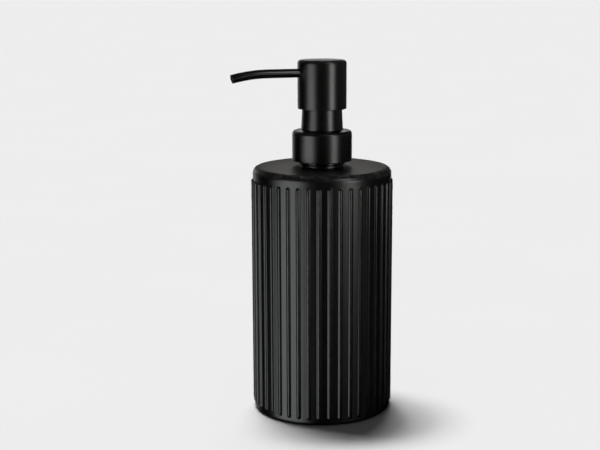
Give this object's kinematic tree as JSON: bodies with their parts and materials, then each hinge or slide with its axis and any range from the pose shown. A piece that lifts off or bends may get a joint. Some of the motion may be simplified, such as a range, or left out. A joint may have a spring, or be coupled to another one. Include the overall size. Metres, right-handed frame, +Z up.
{
  "type": "soap pump dispenser",
  "caption": "Tall round refillable soap dispenser: a ribbed bottle, a screw collar, and a push-down pump head with a thin swivelling spout.",
  "frame": {"origin": "centre of the foot, on the surface that the dispenser stands on", "axes": "+Z up along the bottle's axis; the spout points along -X at rest"},
  "size_m": [0.0857, 0.0738, 0.1852],
  "materials": {
    "bottle_satin_black": "satin black, cast and sprayed",
    "pump_satin_black": "satin black powder coat",
    "spout_gloss_black": "semi-gloss black",
    "neck_gloss_black": "gloss black moulding",
    "pump_plastic": "natural polypropylene",
    "piston_plastic": "soft natural polyethylene",
    "liner_plastic": "black polypropylene",
    "dip_tube_plastic": "natural polyethylene tube",
    "seal_rubber": "soft black seal",
    "foam_pad": "fine foam, non-slip",
    "spring_steel": "drawn stainless wire",
    "ball_steel": "polished stainless ball"
  },
  "bodies": {
    "bottle": {"bottle_body": "bottle_satin_black", "base_pad": "foam_pad", "neck_insert": "neck_gloss_black"},
    "pump_unit": {"pump_housing": "pump_plastic", "housing_cap": "pump_plastic", "neck_sleeve": "pump_satin_black", "stem_seal": "seal_rubber", "neck_gasket": "seal_rubber", "dip_tube": "dip_tube_plastic", "ball_retainer": "pump_plastic"},
    "collar": {"collar_shell": "pump_satin_black", "collar_insert": "liner_plastic"},
    "spring": {"return_spring": "spring_steel"},
    "head": {"head_shell": "pump_satin_black", "head_core": "liner_plastic", "spout": "spout_gloss_black", "spout_o_ring": "seal_rubber", "stem": "pump_plastic", "stem_plug": "pump_plastic"},
    "piston": {"piston": "piston_plastic"},
    "ball": {"check_ball": "ball_steel"}
  },
  "joints": [
    {"name": "pump_rise", "type": "slide", "parent": "bottle", "child": "pump_unit", "axis": [0, 0, 1], "range_m": [0, 0.0048]},
    {"name": "collar_unscrew", "type": "hinge", "parent": "pump_unit", "child": "collar", "pos_m": [0, 0, 0.14], "axis": [0, 0, 1], "range_deg": [0, 540]},
    {"name": "head_press", "type": "slide", "parent": "pump_unit", "child": "spring", "axis": [0, 0, -1], "range_m": [0, 0.01], "stiffness_N_per_m": 450, "springref_m": -0.006, "deforming": ["return_spring"]},
    {"name": "spout_swivel", "type": "hinge", "parent": "spring", "child": "head", "pos_m": [0, 0, 0.16], "axis": [0, 0, 1], "continuous": true},
    {"name": "piston_lag", "type": "slide", "parent": "head", "child": "piston", "axis": [0, 0, 1], "range_m": [0, 0.0015]},
    {"name": "ball_lift", "type": "slide", "parent": "pump_unit", "child": "ball", "axis": [0, 0, 1], "range_m": [0, 0.0015]}
  ],
  "couplings": [
    {"joint": "pump_rise", "follows": "collar_unscrew", "m_per_rad": 0.00050532}
  ]
}
